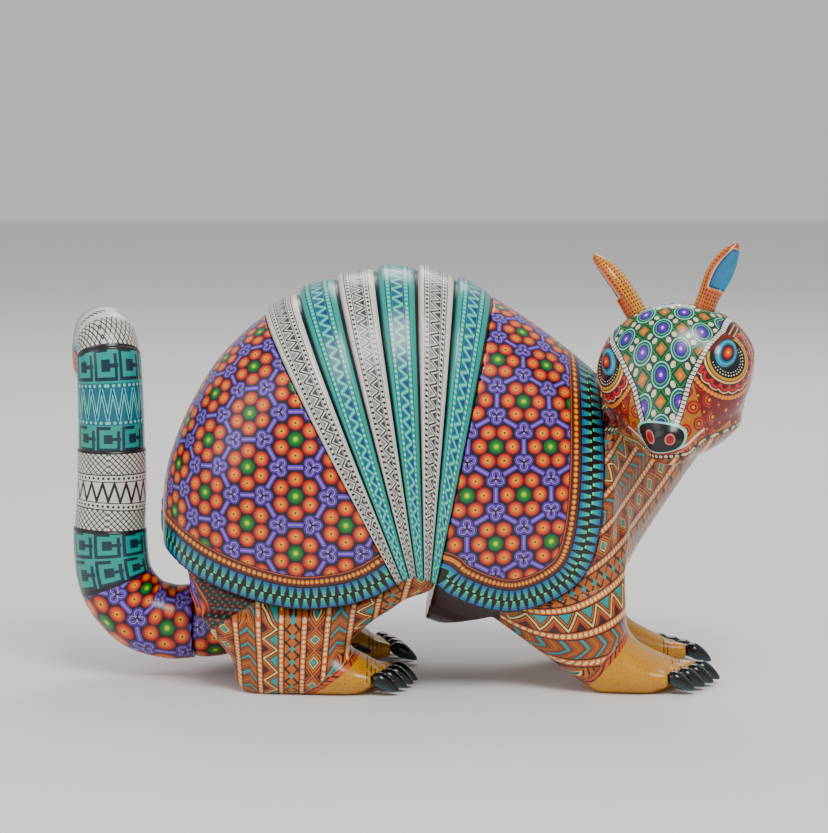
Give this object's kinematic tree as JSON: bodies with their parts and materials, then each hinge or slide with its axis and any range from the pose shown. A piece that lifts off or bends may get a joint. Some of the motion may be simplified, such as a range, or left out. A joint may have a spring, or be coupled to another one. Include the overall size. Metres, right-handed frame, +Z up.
{
  "type": "alebrije figure",
  "caption": "Carved and painted wooden armadillo figure with banded shell, turned head, hooked tail and push-in ears.",
  "frame": {"origin": "middle of the figure's footprint box, on the surface that it stands on", "axes": "+X towards the animal's front, +Y to the animal's left, +Z up"},
  "size_m": [0.3422, 0.156, 0.222],
  "materials": {
    "painted_shell": "acrylic paint under satin varnish",
    "painted_bands": "acrylic paint under satin varnish",
    "painted_belly": "acrylic paint under satin varnish",
    "painted_hide": "acrylic paint under satin varnish",
    "painted_head": "acrylic paint under satin varnish",
    "painted_ear": "acrylic paint under satin varnish",
    "painted_tail": "acrylic paint under satin varnish",
    "painted_claw": "gloss black paint",
    "dowel_wood": "bare"
  },
  "bodies": {
    "figure": {"rear_shell_block": "painted_shell", "banded_block": "painted_bands", "front_shell_block": "painted_shell", "underbody": "painted_belly", "neck": "painted_hide", "head": "painted_head", "hindleg_left": "painted_hide", "hindleg_right": "painted_hide", "foreleg_left": "painted_hide", "foreleg_right": "painted_hide", "hind_claws_left": "painted_claw", "hind_claws_right": "painted_claw", "fore_claws_left": "painted_claw", "fore_claws_right": "painted_claw", "rear_band_dowels": "dowel_wood", "front_band_dowels": "dowel_wood", "hindleg_dowels": "dowel_wood", "foreleg_dowels": "dowel_wood", "neck_dowels": "dowel_wood", "head_dowel": "dowel_wood"},
    "ear_left": {"ear_left": "painted_ear"},
    "ear_right": {"ear_right": "painted_ear"},
    "tail": {"tail": "painted_tail"}
  },
  "joints": [
    {"name": "ear_left_pull", "type": "slide", "parent": "figure", "child": "ear_left", "axis": [0.3649, -0.0088, 0.931], "range_m": [0, 0.014]},
    {"name": "ear_right_pull", "type": "slide", "parent": "figure", "child": "ear_right", "axis": [-0.4876, 0.201, 0.8496], "range_m": [0, 0.014]},
    {"name": "tail_pull", "type": "slide", "parent": "figure", "child": "tail", "axis": [-1, 0, 0], "range_m": [0, 0.03]}
  ]
}
